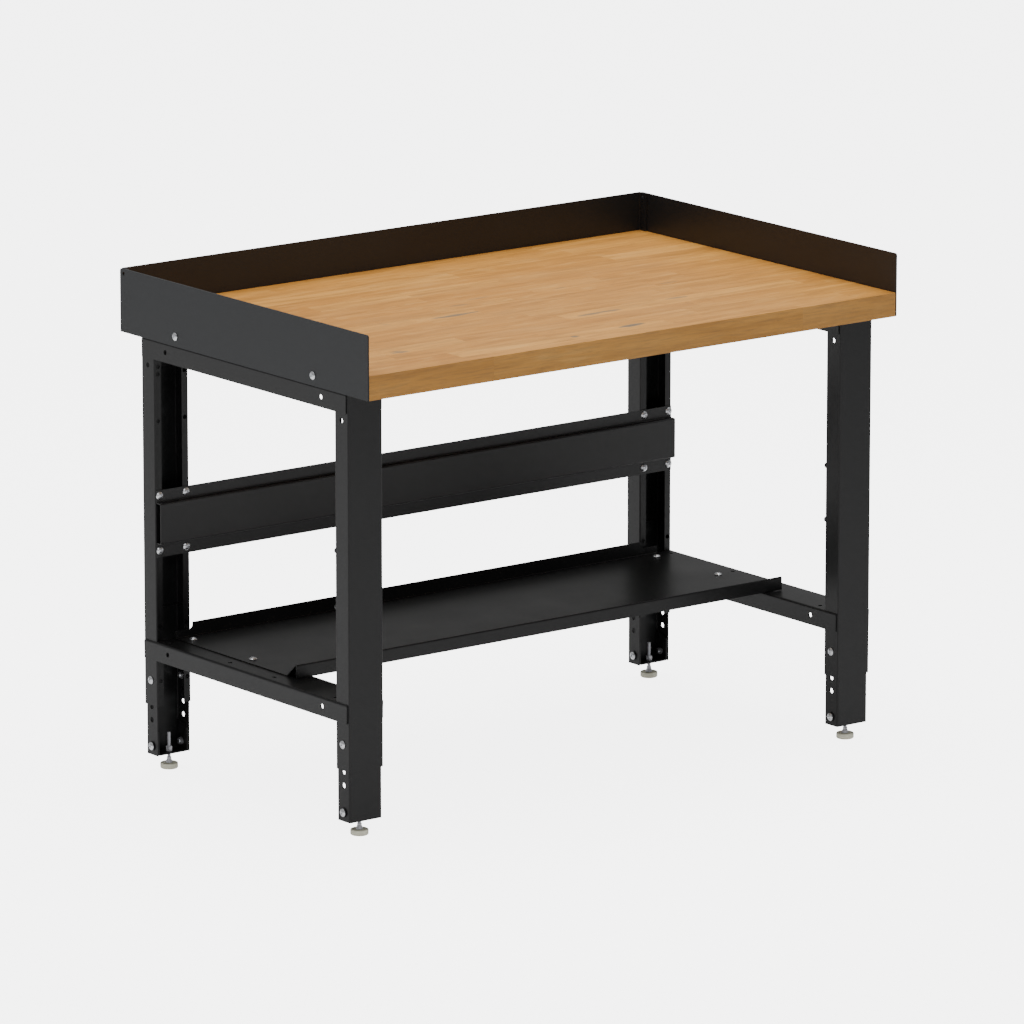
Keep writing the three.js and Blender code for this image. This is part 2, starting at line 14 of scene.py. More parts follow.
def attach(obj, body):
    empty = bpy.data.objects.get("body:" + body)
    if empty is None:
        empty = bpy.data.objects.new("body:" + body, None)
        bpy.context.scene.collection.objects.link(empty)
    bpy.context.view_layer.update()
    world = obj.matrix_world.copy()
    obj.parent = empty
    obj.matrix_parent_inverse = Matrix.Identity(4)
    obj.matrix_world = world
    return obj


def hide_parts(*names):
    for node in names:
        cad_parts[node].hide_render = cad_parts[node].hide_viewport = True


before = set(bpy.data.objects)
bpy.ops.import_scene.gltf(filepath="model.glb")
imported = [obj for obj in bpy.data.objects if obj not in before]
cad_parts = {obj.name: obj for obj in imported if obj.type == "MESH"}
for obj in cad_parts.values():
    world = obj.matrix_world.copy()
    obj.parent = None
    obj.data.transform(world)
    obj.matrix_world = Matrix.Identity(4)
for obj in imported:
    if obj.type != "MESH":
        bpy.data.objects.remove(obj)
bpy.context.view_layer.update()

# Sizes are in millimetres, as in the CAD part, and become metres when a piece is made.
MM = 0.001
GAP = 0.3  # between any two solids
SLIDE_GAP = 0.3
FRONT = -384.8
STOP_REAR = 380.5
UNDERSIDE = 820.5
WORK_HEIGHT = 865.5
TOP_HALF = 608.1
TOP_DEPTH = 762.0
STAVE_BEVEL = 0.15
STOP_TOP = 939.7
STOP_X = 608.4
STOP_SHEET = 3.0
STOP_RADIUS = 4.5
STOP_FLANGE = 20.5  # how far the back stop's folded ends reach forward
STOP_BEND = 2.0
STOP_CHAMFER = 1.0
STOP_SCREWS = (165.5, 591.0)  # from the front edge
BACK_SCREW_X = 442.6
STOP_SCREW_Z = 839.5
CORNER_HOLE = (368.8, 930.7)  # y and z
CORNER_HOLE_RADIUS = 3.6
SCREW_HOLE = 2.7
BOLT_HOLE = 4.3
SIDE_HOLE = 4.8
EXT_HOLE = 5.3
STEM_HOLE = 3.6  # for the levelling stud in the foot bracket

LEG_X = 569.1
LEG_WIDTH = 76.2
LEG_DEPTH = 40.0
LEG_SHEET = 1.5
LEG_LIP = 15.0
LEG_BOTTOM = 126.0
LEG_TOP = 817.9
FRONT_LEG = -318.9
REAR_LEG = 319.95
REAR_LIP = 279.95  # front of the rear uprights' lips
LEG_SIDE_HOLE = 770.5
LIP_HOLE_X = 29.9  # from the leg's middle
LIP_HOLES = (174.5, 278, 423, 526.5, 667, 755.5, 769)
STRINGER_BOLT_Z = (423, 526.5)
STRINGER_HALF = 605.6
STRINGER_FLANGES = (410.2, 536.7)
STRINGER_BOX = (437, 513)
STRINGER_DEPTH = 12.7

EXT_WIDTH = 72.6
EXT_SHEET = 2.5
EXT_SETBACK = 1.2  # of the extension's open edge from the upright's lips
EXT_BOTTOM = 30.3
EXT_TOP = 305.0
EXT_HOLES = [97.4 + 25.4 * i for i in range(7)]
HEIGHT_BOLT_Z = 173.6
BRACKET_BOLT_Z = 47.2
BRACKET_SHEET = 2.5
BRACKET_DEPTH = 30.0
BRACKET_TOP = 86
BRACKET_SETBACK = 1.5
FOOT_Y = 22.0  # from the leg's closed face
COLLAR = 2.0  # under the head of a bracket bolt
COLLAR_RADIUS = 9.0

CHANNEL_START = -315.4
CHANNEL_LENGTH = 631.85
CHANNEL_MIDDLE = 0.525
CHANNEL_INSET = 3.5  # of the channel's ends from the legs' faces
CHANNEL_HEIGHT = 35.5
UPPER_SHEET = 2.0
LOWER_SHEET = 2.7
LOWER_TOP = 250.2
CHANNEL_HOLE_OFFSET = 240.8
CHANNEL_HOLE_DROP = 16.5
TOP_FIXINGS = (78.0, 214.0)
TOP_FIXING_HOLE = 2.8
WEB_HOLES = (58.6, 247.6)
WEB_STAGGER = 10  # by which the other row's holes are further out
WEB_ROW = 22

PAN_SHEET = 1.5  # shelf and stringer
PAN_BEND = 2.0
SHELF_TOP = 252.0
SHELF_HALF = 569.0
SHELF_REAR = FRONT + 660.4
SHELF_RIDGE = FRONT + 279.4
SHELF_RISE = FRONT + 307.6
SHELF_UPSTAND = 27.6
SHELF_NOTCH_HEIGHT = 12.7
SHELF_NOTCH_WIDTH = 39.4
SHELF_NOTCH_RADIUS = 8

HEAD_RADIUS = 7.6
HEAD_HEIGHT = 4.0
HEAD_RIM = 0.7
SHANK_RADIUS = 3.85
NUT_FLATS = 12.7
NUT_HEIGHT = 6.0
WELD_NUT_FLATS = 11.1
WELD_NUT_HEIGHT = 9.5
STUD_RADIUS = 3.175
STUD_PITCH = 1.27
STUD_TOP = 69.0
INSERT_RADIUS = 5.3

# The stage is in metres and radians.
FLOOR_HALF = 60
FLOOR_GLOW = 5.0
BOUNCE_GLOW = (0.29, 0.50)  # at the front right, at the rear left
BOUNCE_REACH = 3.0
CAMERA_LENS = 297.7
CAMERA_PLACE = (-9.337, -12.17575, 4.017)
CAMERA_DIP = 0.22764
CAMERA_TURN = 0.6545

HANDS = (("left", -1), ("right", 1))
BEND_STEPS = 6  # facets in the bend of a sheet
HOLE_SIDES = 28
rng = random.Random(7)

AXES = {
    "z": Matrix.Identity(4),
    "x": Matrix(((0, 0, 1, 0), (1, 0, 0, 0), (0, 1, 0, 0), (0, 0, 0, 1))),
    "y": Matrix(((1, 0, 0, 0), (0, 0, -1, 0), (0, 1, 0, 0), (0, 0, 0, 1))),
}


# ---------------------------------------------------------------- shapes

def folded(corners, thickness, radius):
    """Outline of a folded sheet, from the corners of its mid-line and the mid-line's bend radius."""
    points = [Vector(c) for c in corners]
    left, right = [], []

    def add(point, normal):
        left.append(point + normal * thickness / 2)
        right.insert(0, point - normal * thickness / 2)

    def left_of(d):
        return Vector((-d.y, d.x))

    for i, corner in enumerate(points):
        into = (corner - points[i - 1]).normalized() if i > 0 else None
        out = (points[i + 1] - corner).normalized() if i < len(points) - 1 else None
        if into is None or out is None:
            add(corner, left_of(into or out))
            continue
        turn = math.atan2(into.x * out.y - into.y * out.x, into.dot(out))
        setback = radius * math.tan(abs(turn) / 2)
        toward = math.copysign(radius, turn)
        centre = corner - into * setback + left_of(into) * toward
        n0 = left_of(into)
        for step in range(BEND_STEPS + 1):
            a = turn * step / BEND_STEPS
            n = Vector((n0.x * math.cos(a) - n0.y * math.sin(a), n0.x * math.sin(a) + n0.y * math.cos(a)))
            add(centre - n * toward, n)
    return left + right


def arc(cx, cy, r, a0, a1, steps=8):
    """Points of an arc, angles in degrees."""
    return [
        Vector((cx + r * math.cos(math.radians(a0 + (a1 - a0) * i / steps)),
                cy + r * math.sin(math.radians(a0 + (a1 - a0) * i / steps))))
        for i in range(steps + 1)
    ]


def mesh_from(bm):
    """A mesh from a bmesh, with its normals facing out."""
    bmesh.ops.recalc_face_normals(bm, faces=bm.faces)
    mesh = bpy.data.meshes.new("shape")
    bm.to_mesh(mesh)
    bm.free()
    return mesh


def add_prism(bm, outline, length, axis="z", offset=(0, 0, 0)):
    """Adds a closed solid: an outline swept along an axis.

    The outline holds x, y for z, then y, z for x, and x, z for y, which is swept towards -Y.
    """
    m = Matrix.Translation(offset) @ AXES[axis]
    low = [bm.verts.new(m @ Vector((p[0], p[1], 0))) for p in outline]
    high = [bm.verts.new(m @ Vector((p[0], p[1], length))) for p in outline]
    n = len(outline)
    bm.faces.new(list(reversed(low)))
    bm.faces.new(high)
    for i in range(n):
        j = (i + 1) % n
        bm.faces.new((low[i], low[j], high[j], high[i]))


def add_box(bm, low, high):
    """Adds a box from its low and high corners."""
    add_prism(bm, [(low[0], low[1]), (high[0], low[1]), (high[0], high[1]), (low[0], high[1])],
              high[2] - low[2], "z", (0, 0, low[2]))


def add_bar(bm, axis, radius, length, centre, sides=HOLE_SIDES):
    """A round bar centred on a point."""
    outline = [(radius * math.cos(2 * math.pi * i / sides), radius * math.sin(2 * math.pi * i / sides))
               for i in range(sides)]
    c = Vector(centre)
    half = length / 2
    shift = {"x": Vector((-half, 0, 0)), "y": Vector((0, half, 0)), "z": Vector((0, 0, -half))}[axis]
    add_prism(bm, outline, length, axis, c + shift)


def add_turned(bm, profile, sides):
    """A turned solid about Z, from a profile of (radius, z) that starts and ends on the axis."""
    rings = []
    for r, z in profile:
        if r < 1e-6:
            rings.append([bm.verts.new((0, 0, z))])
        else:
            rings.append([bm.verts.new((r * math.cos(2 * math.pi * i / sides),
                                        r * math.sin(2 * math.pi * i / sides), z)) for i in range(sides)])
    for a, b in zip(rings, rings[1:]):
        for i in range(sides):
            j = (i + 1) % sides
            quad = [a[i % len(a)], a[j % len(a)], b[j % len(b)], b[i % len(b)]]
            face = []
            for v in quad:
                if v not in face:
                    face.append(v)
            if len(face) > 2:
                bm.faces.new(face)


def carve(mesh, cutter, operation="DIFFERENCE", crossing=False):
    """Boolean of two meshes, applied. Crossing is for a cutter whose own solids overlap."""
    a = bpy.data.objects.new("carve_a", mesh)
    b = bpy.data.objects.new("carve_b", cutter)
    for o in (a, b):
        bpy.context.scene.collection.objects.link(o)
    m = a.modifiers.new("cut", "BOOLEAN")
    m.operation, m.solver, m.object, m.use_self = operation, "EXACT", b, crossing
    bpy.context.view_layer.update()
    out = bpy.data.meshes.new_from_object(a.evaluated_get(bpy.context.evaluated_depsgraph_get()))
    for o in (a, b):
        bpy.data.objects.remove(o)
    return out


def soften(mesh, angle=35):
    """Shades a mesh smooth but for the edges sharper than an angle, in degrees."""
    mesh.shade_smooth()
    mesh.set_sharp_from_angle(angle=math.radians(angle))
    return mesh


def joined(meshes):
    """One mesh from several."""
    bm = bmesh.new()
    for m in meshes:
        bm.from_mesh(m)
    out = bpy.data.meshes.new("joined")
    bm.to_mesh(out)
    bm.free()
    return out


def piece(name, mesh, body, material, nodes=(), matrix=None):
    """A finished piece from a mesh in millimetres: scaled, placed, painted and riding on its body."""
    key = "mm_done"
    if not mesh.get(key):
        mesh.transform(Matrix.Diagonal((MM, MM, MM, 1)))
        mesh[key] = 1
        mesh.name = name
        mesh.materials.clear()
        mesh.materials.append(material)
        mesh.update()
    obj = bpy.data.objects.new(name, mesh)
    bpy.context.scene.collection.objects.link(obj)
    if matrix is not None:
        m = matrix.copy()
        m.translation = m.translation * MM
        obj.matrix_world = m
    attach(obj, body)
    if nodes:
        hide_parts(*nodes)
    return obj


# ---------------------------------------------------------------- materials

# The mix node's colour sockets: their names are shared with its float and vector sockets.
MIX_A, MIX_B, MIX_RESULT = 6, 7, 2


class Paint:
    """A small helper that builds a node material."""

    def __init__(self, name, base, roughness, metallic=0.0):
        self.m = bpy.data.materials.new(name)
        self.m.use_nodes = True
        self.m.diffuse_color = (*base, 1)
        self.t = self.m.node_tree
        self.b = self.t.nodes["Principled BSDF"]
        self.b.inputs["Base Color"].default_value = (*base, 1)
        self.b.inputs["Roughness"].default_value = roughness
        self.b.inputs["Metallic"].default_value = metallic
        self.m.roughness, self.m.metallic = roughness, metallic

    def node(self, kind, **values):
        n = self.t.nodes.new(kind)
        for k, v in values.items():
            setattr(n, k, v)
        return n

    def link(self, a, b):
        self.t.links.new(a, b)

    def put(self, socket, value):
        if isinstance(value, bpy.types.NodeSocket):
            self.link(value, socket)
        else:
            socket.default_value = value

    def math(self, op, a, b=0.0, c=0.0, clamp=False):
        n = self.node("ShaderNodeMath", operation=op, use_clamp=clamp)
        for i, v in enumerate((a, b, c)):
            self.put(n.inputs[i], v)
        return n.outputs[0]

    def position(self):
        return self.node("ShaderNodeTexCoord").outputs["Object"]

    def stretched(self, vector, scale, turn=(0, 0, 0)):
        n = self.node("ShaderNodeMapping")
        self.link(vector, n.inputs["Vector"])
        n.inputs["Scale"].default_value = scale
        n.inputs["Rotation"].default_value = turn
        return n.outputs[0]

    def noise(self, vector, scale=1.0, detail=2.0, roughness=0.5, distortion=0.0):
        n = self.node("ShaderNodeTexNoise")
        self.link(vector, n.inputs["Vector"])
        n.inputs["Scale"].default_value = scale
        n.inputs["Detail"].default_value = detail
        n.inputs["Roughness"].default_value = roughness
        n.inputs["Distortion"].default_value = distortion
        return n.outputs["Fac"]

    def ramp(self, value, low, high, out_low=0.0, out_high=1.0):
        n = self.node("ShaderNodeMapRange", clamp=True)
        self.put(n.inputs["Value"], value)
        for key, v in (("From Min", low), ("From Max", high), ("To Min", out_low), ("To Max", out_high)):
            n.inputs[key].default_value = v
        return n.outputs[0]

    def mix(self, factor, a, b, blend="MIX"):
        n = self.node("ShaderNodeMix", data_type="RGBA", blend_type=blend)
        self.put(n.inputs["Factor"], factor)
        for socket, value in ((MIX_A, a), (MIX_B, b)):
            self.put(n.inputs[socket], value if isinstance(value, bpy.types.NodeSocket) else (*value, 1))
        return n.outputs[MIX_RESULT]

    def bump(self, height, strength, distance, normal=None):
        n = self.node("ShaderNodeBump")
        n.inputs["Strength"].default_value = strength
        n.inputs["Distance"].default_value = distance
        self.link(height, n.inputs["Height"])
        if normal is not None:
            self.link(normal, n.inputs["Normal"])
        return n.outputs[0]

    def edge(self, radius=0.0012, samples=4):
        """1 along convex and concave edges, 0 on flat faces."""
        bevel = self.node("ShaderNodeBevel", samples=samples)
        bevel.inputs["Radius"].default_value = radius
        geometry = self.node("ShaderNodeNewGeometry")
        dot = self.node("ShaderNodeVectorMath", operation="DOT_PRODUCT")
        self.link(bevel.outputs[0], dot.inputs[0])
        self.link(geometry.outputs["Normal"], dot.inputs[1])
        return self.ramp(dot.outputs["Value"], 0.995, 0.86)

    def parts(self, vector):
        """The x, y and z outputs of a vector."""
        split = self.node("ShaderNodeSeparateXYZ")
        self.link(vector, split.inputs[0])
        return split.outputs

    def up(self):
        """The normal's z: 1 where the surface faces up."""
        return self.parts(self.node("ShaderNodeNewGeometry").outputs["Normal"])[2]

    def finish(self, color=None, roughness=None, normal=None):
        for key, value in (("Base Color", color), ("Roughness", roughness), ("Normal", normal)):
            if value is not None:
                self.link(value, self.b.inputs[key])
        return self.m


def shade(color, factor):
    """A colour made lighter or darker."""
    return tuple(min(1, c * factor) for c in color)


def powder_coat(name, base, roughness=0.38):
    """Satin powder coat: fine orange peel, faint mottling, worn edges and a little dust on what faces up."""
    p = Paint(name, base, roughness)
    at = p.position()
    peel = p.noise(at, 900, 2, 0.6)
    cloud = p.noise(at, 9, 3, 0.55)
    fine = p.noise(at, 260, 2, 0.5)
    worn = p.math("MULTIPLY", p.edge(), p.ramp(p.noise(at, 60, 3, 0.6), 0.45, 0.75), clamp=True)
    dust = p.math("MULTIPLY", p.ramp(p.up(), 0.75, 1.0), p.ramp(fine, 0.45, 0.8, 0.0, 0.3))
    color = p.mix(p.ramp(cloud, 0.35, 0.65), shade(base, 0.93), shade(base, 1.07))
    color = p.mix(p.math("MULTIPLY", worn, 0.3), color, (0.09, 0.09, 0.092))
    color = p.mix(dust, color, (0.03, 0.029, 0.027))
    rough = p.ramp(cloud, 0.3, 0.7, roughness - 0.02, roughness + 0.02)
    rough = p.math("ADD", rough, p.math("MULTIPLY", worn, -0.06))
    normal = p.bump(peel, 0.22, 0.00012)
    p.b.inputs["Specular IOR Level"].default_value = 0.36
    return p.finish(color, rough, normal)


def zinc_plate(name, base=(0.88, 0.89, 0.91), roughness=0.27, metallic=0.95):
    """Bright zinc: a faint crystalline mottling and fine scratches."""
    p = Paint(name, base, roughness, metallic)
    at = p.position()
    crystal = p.node("ShaderNodeTexVoronoi", feature="F1")
    p.link(at, crystal.inputs["Vector"])
    crystal.inputs["Scale"].default_value = 700
    cloud = p.noise(at, 150, 3, 0.6)
    color = p.mix(p.ramp(cloud, 0.3, 0.7), shade(base, 0.9), shade(base, 1.08))
    color = p.mix(p.ramp(crystal.outputs["Distance"], 0.0, 0.9, 0.0, 0.25), color, (0.68, 0.70, 0.76))
    rough = p.ramp(cloud, 0.3, 0.75, roughness - 0.06, roughness + 0.1)
    scratch = p.noise(p.stretched(at, (3000, 300, 300)), 1, 2, 0.6)
    return p.finish(color, rough, p.bump(scratch, 0.12, 0.00005))


def moulded_plastic(name, base, roughness=0.55):
    """Moulded plastic: fine grain, faint flow marks, and darker towards the bottom."""
    p = Paint(name, base, roughness)
    at = p.position()
    grain = p.noise(at, 1800, 2, 0.5)
    flow = p.noise(p.stretched(at, (60, 60, 240)), 1, 3, 0.6)
    darker_low = p.math("MULTIPLY", p.ramp(p.parts(at)[2], 0.0035, 0.0), p.ramp(flow, 0.3, 0.7, 0.3, 0.8))
    color = p.mix(p.ramp(flow, 0.35, 0.65), shade(base, 0.93), shade(base, 1.06))
    color = p.mix(darker_low, color, shade(base, 0.35))
    rough = p.ramp(flow, 0.3, 0.7, roughness - 0.05, roughness + 0.08)
    return p.finish(color, rough, p.bump(grain, 0.2, 0.00008))


# Grey mineral marks in the wood: centre x and y and half sizes in mm, then how strong each is, up to 1.
STREAKS = (
    (-165, -51, 52, 8, 0.9),
    (62, -194, 50, 7, 0.8),
    (34, -321, 32, 9, 1.0),
    (-437, -250, 24, 9, 1.0),
    (-108, -334, 10, 7, 0.9),
    (-317, -36, 14, 9, 0.5),
    (255, -173, 24, 6, 0.6),
    (142, 30, 15, 3.5, 0.7),
    (-103, 15, 20, 7, 0.35),
    (330, -54, 25, 5, 0.35),
    (-40, 46, 30, 4, 0.4),
)


def oak_staves(name):
    """Glued oak staves. Each stave's tone and grain offset come from the mesh."""
    p = Paint(name, (0.56, 0.35, 0.17), 0.42)
    at = p.position()
    tone = p.node("ShaderNodeAttribute", attribute_name="stave_tone").outputs["Fac"]
    seed = p.node("ShaderNodeAttribute", attribute_name="stave_seed").outputs["Fac"]
    offset = p.node("ShaderNodeCombineXYZ")
    for axis, reach in enumerate((7.0, 3.1, 1.7)):
        p.link(p.math("MULTIPLY", seed, reach), offset.inputs[axis])
    add = p.node("ShaderNodeVectorMath", operation="ADD")
    p.link(at, add.inputs[0])
    p.link(offset.outputs[0], add.inputs[1])
    own = add.outputs[0]
    bands = p.noise(p.stretched(own, (2.6, 34, 30)), 1, 4, 0.6, 0.8)
    veins = p.noise(p.stretched(own, (9, 55, 55)), 1, 4, 0.65, 0.9)
    fibre = p.noise(p.stretched(own, (9, 420, 420)), 1, 3, 0.6)
    pores = p.noise(p.stretched(own, (45, 1500, 1500)), 1, 2, 0.5)
    slow = p.noise(p.stretched(own, (3.5, 9, 9)), 1, 2, 0.5)
    slanted = p.noise(p.stretched(own, (16, 60, 250), (0, 0.16, 0)), 1, 3, 0.6, 0.4)
    light, dark = (0.88, 0.425, 0.088), (0.60, 0.240, 0.036)
    color = p.mix(tone, dark, light)
    color = p.mix(p.ramp(bands, 0.44, 0.62, 0.0, 0.6), color, (0.52, 0.222, 0.040))
    color = p.mix(p.ramp(bands, 0.42, 0.30, 0.0, 0.4), color, (0.90, 0.485, 0.135))
    up = p.up()
    edge_face = p.ramp(up, 0.5, 0.2)
    top_face = p.ramp(up, 0.2, 0.5, 0.35, 1.0)
    dark_veins = p.math("MULTIPLY", top_face, p.ramp(veins, 0.51, 0.66, 0.0, 0.42))
    color = p.mix(dark_veins, color, (0.38, 0.165, 0.035))
    light_veins = p.math("MULTIPLY", top_face, p.ramp(veins, 0.46, 0.32, 0.0, 0.32))
    color = p.mix(light_veins, color, (0.95, 0.545, 0.165))
    color = p.mix(p.ramp(slow, 0.5, 0.75, 0.0, 0.3), color, (0.82, 0.425, 0.12))
    color = p.mix(p.ramp(fibre, 0.5, 0.75, 0.0, 0.25), color, (0.44, 0.19, 0.06))
    color = p.mix(p.ramp(pores, 0.62, 0.72, 0.0, 0.35), color, (0.28, 0.12, 0.04))
    edge_grain = p.math("MULTIPLY", edge_face, p.ramp(slanted, 0.46, 0.66, 0.0, 0.34))
    color = p.mix(edge_grain, color, (0.30, 0.16, 0.055))
    # The side faces are painted darker and cooler than the top: painted shade.
    color = p.mix(edge_face, color, (0.79, 0.82, 0.87), "MULTIPLY")
    # Faces that look down are painted dark and grey: unfinished wood, and painted shade.
    raw_shaded_underside = p.ramp(up, -0.5, -0.9)
    color = p.mix(p.math("MULTIPLY", raw_shaded_underside, 0.85), color, (0.26, 0.235, 0.20))
    place = p.parts(at)
    ragged = p.noise(p.stretched(own, (14, 110, 110)), 1, 3, 0.6)
    torn = p.math("MULTIPLY", p.math("SUBTRACT", ragged, 0.5), 5.0)
    for x, y, rx, ry, amount in STREAKS:
        dx = p.math("MULTIPLY", p.math("SUBTRACT", place[0], x * MM), 1 / (rx * MM))
        dy = p.math("MULTIPLY", p.math("SUBTRACT", place[1], y * MM), 1 / (ry * MM))
        reach = p.math("ADD", p.math("MULTIPLY", dx, dx), p.math("MULTIPLY", dy, dy))
        near = p.ramp(p.math("ADD", reach, torn), 1.1, 0.2)
        color = p.mix(p.math("MULTIPLY", near, amount * 0.9), color, (0.17, 0.15, 0.11))
    # The top is painted darker and more golden where it meets the stops: painted shade cast by the stops.
    side_x = p.ramp(p.math("ABSOLUTE", place[0]), 0.560, 0.606)
    rear_y = p.ramp(place[1], 0.325, 0.378)
    corner = p.math("MULTIPLY", p.math("MAXIMUM", side_x, rear_y), p.ramp(slow, 0.25, 0.75, 0.5, 1.0))
    corner = p.math("MULTIPLY", corner, p.ramp(up, 0.7, 0.9))
    color = p.mix(corner, color, (0.82, 0.75, 0.52), "MULTIPLY")
    rough = p.ramp(fibre, 0.3, 0.7, 0.36, 0.5)
    p.b.inputs["Specular IOR Level"].default_value = 0.36
    normal = p.bump(pores, 0.12, 0.0002, p.bump(fibre, 0.10, 0.0002))
    return p.finish(color, rough, normal)


black = powder_coat("black_powder_coat", (0.010, 0.010, 0.0104))
# A lighter, bluer copy of the black powder coat for the stops: painted light, which also offsets the wood's
# orange reflection.
black_stops_painted_lighter = powder_coat("black_powder_coat_stops", (0.015, 0.0165, 0.0185))
# A lighter copy of the black powder coat for the stringer: painted light.
black_stringer_painted_lighter = powder_coat("black_powder_coat_stringer", (0.023, 0.023, 0.0235))
oxide = powder_coat("black_oxide", (0.008, 0.008, 0.0085), 0.3)
zinc = zinc_plate("zinc")
zinc_dull = zinc_plate("zinc_dull", (0.80, 0.80, 0.84), 0.42, 0.3)
# A darker, duller copy of the zinc for the bracket nuts inside the legs: painted shade.
zinc_nuts_painted_shade = zinc_plate("zinc_nuts_painted_shade", (0.16, 0.16, 0.165), 0.5, 0.5)
pad_white = moulded_plastic("pad_plastic", (0.97, 0.94, 0.75))
oak = oak_staves("oak_staves")


# ---------------------------------------------------------------- worktop

# Rows from the front to the back, the first one narrower. Each stave has its right end, in mm from the middle,
# and its tone, from 0 dark to 1 light.
FIRST_ROW = 28.6
ROW = 48.0
STAVES = (
    ((-330, 0.45), (386, 0.62), (610, 0.5)),
    ((-379, 0.2), (110, 0.95), (520, 0.55), (610, 0.45)),
    ((-480, 0.5), (-150, 0.4), (205, 0.45), (610, 0.78)),
    ((-470, 0.6), (-289, 0.85), (250, 0.25), (610, 0.42)),
    ((-520, 0.5), (-20, 0.4), (531, 0.9), (610, 0.15)),
    ((-430, 0.3), (-60, 0.35), (330, 0.45), (610, 0.4)),
    ((-560, 0.6), (-240, 0.35), (270, 0.42), (450, 0.62), (610, 0.45)),
    ((-399, 0.5), (-110, 0.75), (300, 0.4), (610, 0.38)),
    ((-500, 0.4), (-172, 0.35), (10, 0.6), (400, 0.4), (610, 0.45)),
    ((-360, 0.35), (80, 0.3), (250, 0.55), (610, 0.35)),
    ((-450, 0.6), (-130, 0.35), (467, 0.3), (610, 0.72)),
    ((-340, 0.2), (-125, 0.85), (90, 0.8), (610, 0.45)),
    ((-540, 0.5), (-200, 0.3), (386, 0.3), (610, 0.82)),
    ((-400, 0.7), (-141, 0.8), (56, 0.88), (610, 0.42)),
    ((-480, 0.5), (-20, 0.45), (360, 0.55), (610, 0.62)),
    ((-300, 0.5), (330, 0.35), (610, 0.4)),
    ((-200, 0.45), (250, 0.5), (610, 0.42)),
)


def worktop_mesh():
    """One box to a stave, its edges eased, with the stave's tone and seed on its faces."""
    bm = bmesh.new()
    tone = bm.faces.layers.float.new("stave_tone")
    seed = bm.faces.layers.float.new("stave_seed")
    y = FRONT
    for i, row in enumerate(STAVES):
        y1 = min(FRONT + FIRST_ROW + ROW * i, FRONT + TOP_DEPTH)
        x = -TOP_HALF
        for end, value in row:
            x1 = min(end, TOP_HALF)
            before = set(bm.faces)
            add_box(bm, (x, y, UNDERSIDE), (x1, y1, WORK_HEIGHT))
            edges = list({e for f in bm.faces if f not in before for e in f.edges})
            bmesh.ops.bevel(bm, geom=edges, offset=STAVE_BEVEL, segments=1, affect="EDGES", profile=0.5)
            s = rng.random()
            for f in [f for f in bm.faces if f not in before]:
                f[tone] = value
                f[seed] = s
            x = x1
        y = y1
    return mesh_from(bm)


piece("worktop_staves", worktop_mesh(), "bench_frame", oak, ["worktop"])


# ---------------------------------------------------------------- stops

def side_stop_mesh(side):
    """Flat sheet with rounded top corners, its screw holes and the corner hole."""
    outline = [(FRONT, UNDERSIDE + STOP_CHAMFER), (FRONT + STOP_CHAMFER, UNDERSIDE), (STOP_REAR, UNDERSIDE)]
    outline += arc(STOP_REAR - STOP_RADIUS, STOP_TOP - STOP_RADIUS, STOP_RADIUS, 0, 90)
    outline += arc(FRONT + STOP_RADIUS, STOP_TOP - STOP_RADIUS, STOP_RADIUS, 90, 180)
    bm = bmesh.new()
    add_prism(bm, outline, STOP_SHEET, "x", (STOP_X if side > 0 else -STOP_X - STOP_SHEET, 0, 0))
    sheet = mesh_from(bm)
    cutter = bmesh.new()
    for distance in STOP_SCREWS:
        add_bar(cutter, "x", SCREW_HOLE, 12, (side * STOP_X, FRONT + distance, STOP_SCREW_Z))
    add_bar(cutter, "x", CORNER_HOLE_RADIUS, 16, (side * STOP_X, *CORNER_HOLE))
    return carve(sheet, mesh_from(cutter))


def back_stop_mesh():
    """Sheet with both ends folded forward inside the side stops."""
    half = STOP_X - GAP - STOP_SHEET / 2
    rear = STOP_REAR - STOP_SHEET / 2
    bm = bmesh.new()
    ends = [(-half, rear - STOP_FLANGE), (-half, rear), (half, rear), (half, rear - STOP_FLANGE)]
    add_prism(bm, folded(ends, STOP_SHEET, STOP_BEND), STOP_TOP - UNDERSIDE, "z", (0, 0, UNDERSIDE))
    sheet = mesh_from(bm)
    cutter = bmesh.new()
    for side in (-1, 1):
        add_bar(cutter, "x", CORNER_HOLE_RADIUS, 10, (side * half, *CORNER_HOLE))
        add_bar(cutter, "y", SCREW_HOLE, 10, (side * BACK_SCREW_X, rear, STOP_SCREW_Z))
    return carve(sheet, mesh_from(cutter))


for hand, side in HANDS:
    piece(f"{hand}_side_stop", side_stop_mesh(side), "bench_frame", black_stops_painted_lighter,
          [f"{hand}_stop"])
piece("rear_stop", back_stop_mesh(), "bench_frame", black_stops_painted_lighter, ["back_stop"])


# ---------------------------------------------------------------- channels, stringer, shelf

